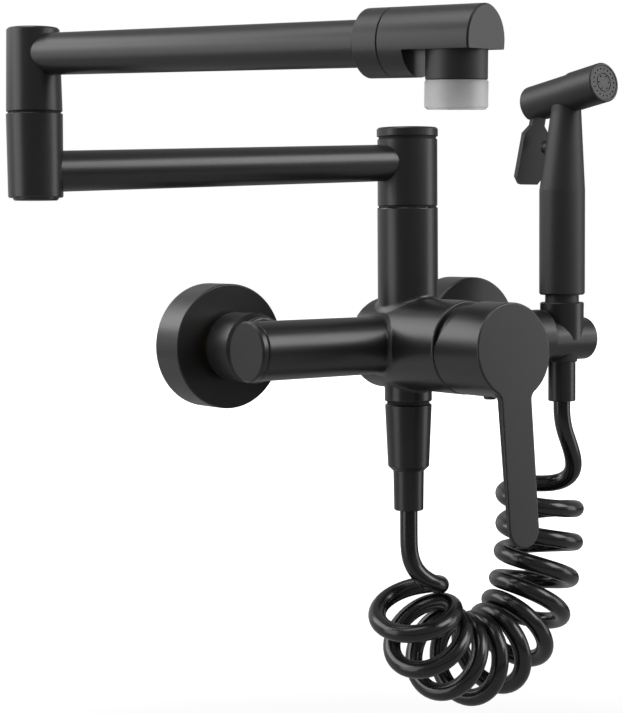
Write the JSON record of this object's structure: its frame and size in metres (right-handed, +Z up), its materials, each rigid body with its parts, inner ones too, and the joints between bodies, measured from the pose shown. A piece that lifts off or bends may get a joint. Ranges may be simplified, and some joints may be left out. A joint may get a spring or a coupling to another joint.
{
  "type": "wall-mounted kitchen faucet",
  "caption": "Wall-mounted bar mixer with a hanging lever, a jointed swing spout with an aerator, and a trigger spray handset in a holder on a curly hose.",
  "frame": {"origin": "midpoint between the two inlets on the wall plane", "axes": "+X to the user's right along the bar, -Y towards the user, +Z up"},
  "size_m": [0.3204, 0.2771, 0.3166],
  "materials": {
    "black_coat": "satin black coating on brass",
    "black_plastic": "satin black",
    "hose": "glossy black",
    "seal": "dull black",
    "grey_rubber": "matt grey",
    "brass": "machined",
    "steel": "machined",
    "cartridge_plastic": "moulded",
    "frosted_cup": "frosted, translucent"
  },
  "bodies": {
    "mixer": {"wall_union_left": "brass", "wall_union_right": "brass", "escutcheon_left": "black_coat", "escutcheon_right": "black_coat", "filter_washer_left": "seal", "filter_washer_right": "seal", "union_nut_left": "black_coat", "union_nut_right": "black_coat", "inlet_nipple_left": "brass", "inlet_nipple_right": "brass", "mixer_body": "black_coat", "bar_plug": "black_coat", "diverter": "brass", "cartridge": "cartridge_plastic", "cartridge_nut": "brass", "cartridge_cover": "black_coat", "post_spigot": "brass", "post_seam_washer": "seal", "post_cap_washer": "seal", "post_cap": "black_coat", "outlet_check_valve": "cartridge_plastic", "outlet_seal": "seal", "hose_nut": "black_coat", "hose_ferrule_left": "black_coat", "hose_lead": "hose", "hose_coil": "hose", "hose_tail": "hose", "spray_holder": "black_coat", "holder_screw": "steel", "holder_bush": "seal"},
    "rotor": {"cartridge_rotor": "cartridge_plastic", "stem_pin": "steel"},
    "lever": {"lever_stem": "steel", "lever_handle": "black_coat", "lever_set_screw": "steel", "lever_plug": "black_coat"},
    "lower_spout": {"post_sleeve": "black_coat", "lower_arm": "black_coat", "elbow_lower_sleeve": "black_coat", "elbow_plug": "black_coat", "elbow_washer": "seal"},
    "upper_spout": {"elbow_spigot": "brass", "elbow_retainer": "steel", "elbow_upper_sleeve": "black_coat", "upper_arm": "black_coat", "head_coupling": "black_coat", "spout_head": "black_coat", "aerator_collar": "black_plastic", "aerator_cup": "frosted_cup", "aerator_insert": "cartridge_plastic"},
    "handset": {"spray_handle": "black_plastic", "spray_head": "black_plastic", "nozzle_plate": "grey_rubber", "spray_valve": "black_plastic", "hose_ferrule_right": "black_coat", "trigger_pin": "steel", "trigger_spring": "black_plastic"},
    "trigger": {"trigger": "black_plastic"}
  },
  "joints": [
    {"name": "lever_turn", "type": "hinge", "parent": "mixer", "child": "rotor", "pos_m": [0, -0.1021, 0], "axis": [0, 1, 0], "range_deg": [-45, 45]},
    {"name": "lever_lift", "type": "hinge", "parent": "rotor", "child": "lever", "pos_m": [0, -0.1021, 0], "axis": [-1, 0, 0], "range_deg": [0, 24]},
    {"name": "post_swivel", "type": "hinge", "parent": "mixer", "child": "lower_spout", "pos_m": [0, -0.0582, 0], "axis": [0, 0, 1], "range_deg": [0, 150]},
    {"name": "elbow_swivel", "type": "hinge", "parent": "lower_spout", "child": "upper_spout", "pos_m": [-0.1928, -0.05369, 0.1], "axis": [0, 0, 1], "range_deg": [-105, 60]},
    {"name": "handset_lift", "type": "slide", "parent": "mixer", "child": "handset", "axis": [0, 0, 1], "range_m": [0, 0.06]},
    {"name": "trigger_squeeze", "type": "hinge", "parent": "handset", "child": "trigger", "pos_m": [0.1, -0.041, 0.11235], "axis": [-1, 0, 0], "range_deg": [0, 15], "stiffness_Nm_per_rad": 0.6, "springref_deg": -5.73}
  ]
}
